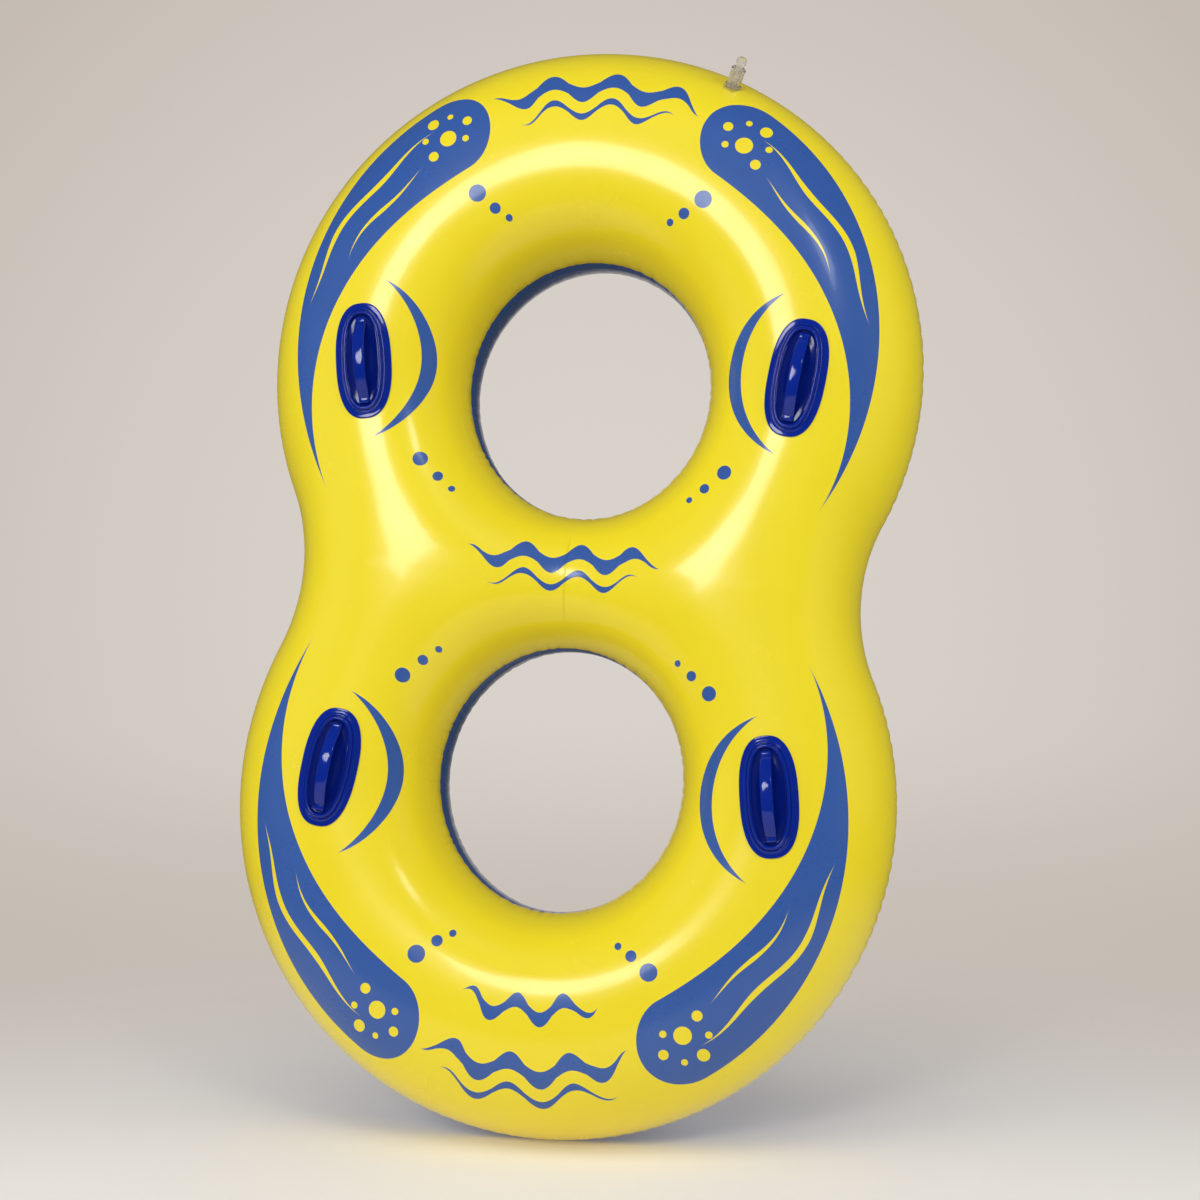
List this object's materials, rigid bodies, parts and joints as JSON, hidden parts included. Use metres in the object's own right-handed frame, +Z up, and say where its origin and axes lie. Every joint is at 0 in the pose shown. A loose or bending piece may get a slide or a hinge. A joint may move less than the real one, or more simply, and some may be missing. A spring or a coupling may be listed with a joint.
{
  "type": "figure-eight pool float",
  "caption": "Inflatable figure-eight float with joined rings round open seats, lapped top and bottom skins, moulded grab handles, and an air valve with stem, flap and cap.",
  "frame": {"origin": "on the floor under the middle of the waist, with the float lying flat", "axes": "+Z up out of the printed face, +Y along the float towards the ring that carries the valve, +X across the waist to the valve's side"},
  "size_m": [1.1488, 1.904, 0.3863],
  "materials": {
    "top_vinyl": "glossy soft vinyl film",
    "bottom_vinyl": "glossy soft vinyl film",
    "handle_vinyl": "polished moulded vinyl",
    "grip_vinyl": "polished moulded vinyl",
    "flange_vinyl": "milky soft vinyl",
    "stem_clear_vinyl": "translucent soft vinyl",
    "cap_clear_vinyl": "translucent soft vinyl",
    "flap_vinyl": "translucent soft vinyl"
  },
  "bodies": {
    "float": {"top_skin": "top_vinyl", "bottom_skin": "bottom_vinyl", "handle_base_front_left": "handle_vinyl", "handle_base_front_right": "handle_vinyl", "handle_base_rear_left": "handle_vinyl", "handle_base_rear_right": "handle_vinyl", "handle_grip_front_left": "grip_vinyl", "handle_grip_front_right": "grip_vinyl", "handle_grip_rear_left": "grip_vinyl", "handle_grip_rear_right": "grip_vinyl", "valve_flange": "flange_vinyl"},
    "stem": {"valve_stem": "stem_clear_vinyl"},
    "cap": {"valve_cap": "cap_clear_vinyl"},
    "flap": {"valve_flap": "flap_vinyl"}
  },
  "joints": [
    {"name": "valve_press", "type": "slide", "parent": "float", "child": "stem", "axis": [-0.3444, -0.7741, -0.5312], "range_m": [0, 0.025]},
    {"name": "cap_pull", "type": "slide", "parent": "stem", "child": "cap", "axis": [0.3444, 0.7741, 0.5312], "range_m": [0, 0.017]},
    {"name": "flap_hinge", "type": "hinge", "parent": "stem", "child": "flap", "pos_m": [0.204, 0.8607, 0.2546], "axis": [0.216, 0.4854, -0.8472], "range_deg": [0, 50], "stiffness_Nm_per_rad": 0.002, "springref_deg": -2.86}
  ]
}
